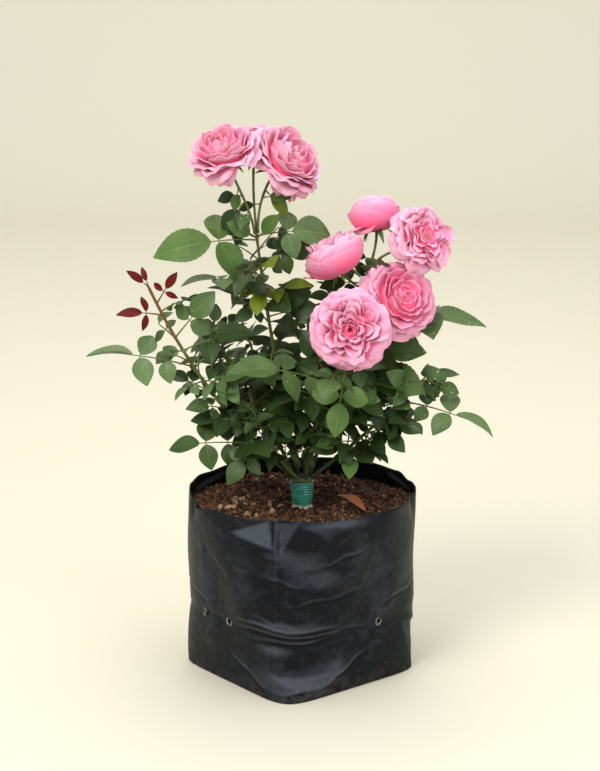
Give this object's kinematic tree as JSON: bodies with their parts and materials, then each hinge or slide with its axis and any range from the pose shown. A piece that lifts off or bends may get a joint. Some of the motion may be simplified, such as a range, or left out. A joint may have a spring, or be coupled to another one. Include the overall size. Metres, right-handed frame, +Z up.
{
  "type": "potted patio rose bush",
  "caption": "Grafted patio rose bush with arching canes, leafy shoots and pink blossoms, standing in a soil-filled black film grow bag.",
  "frame": {"origin": "centre of the grow bag's flat underside, at ground level", "axes": "+Z up along the plant, -Y towards the front, where the largest blossom faces, +X to the right as seen from the front"},
  "size_m": [0.4026, 0.234, 0.5584],
  "materials": {
    "film": "black polythene film with a soft satin sheen",
    "soil": "coarse dark red-brown coir and bark",
    "bark": "rough grey-brown bark",
    "tape": "stretched green grafting tape",
    "cane": "smooth green rind",
    "leaf": "semi-matt green leaves",
    "petal": "soft pink petals"
  },
  "bodies": {
    "root": {"grow_bag": "film", "potting_soil": "soil", "rootstock": "bark", "grafting_tape": "tape", "left_arch_cane": "cane", "inner_left_cane": "cane", "tall_cane": "cane", "back_cane": "cane", "right_upper_cane": "cane", "right_low_cane": "cane", "front_cane": "cane", "low_left_cane": "cane", "left_arch_foliage": "leaf", "inner_left_foliage": "leaf", "tall_foliage": "leaf", "back_foliage": "leaf", "right_upper_foliage": "leaf", "right_low_foliage": "leaf", "front_foliage": "leaf", "low_left_foliage": "leaf", "back_left_foliage": "leaf", "back_right_foliage": "leaf", "blossom_top_left": "petal", "blossom_top_right": "petal", "blossom_top_back": "petal", "blossom_bud": "petal", "blossom_right": "petal", "blossom_cup": "petal", "blossom_middle": "petal", "blossom_front": "petal"}
  },
  "joints": []
}
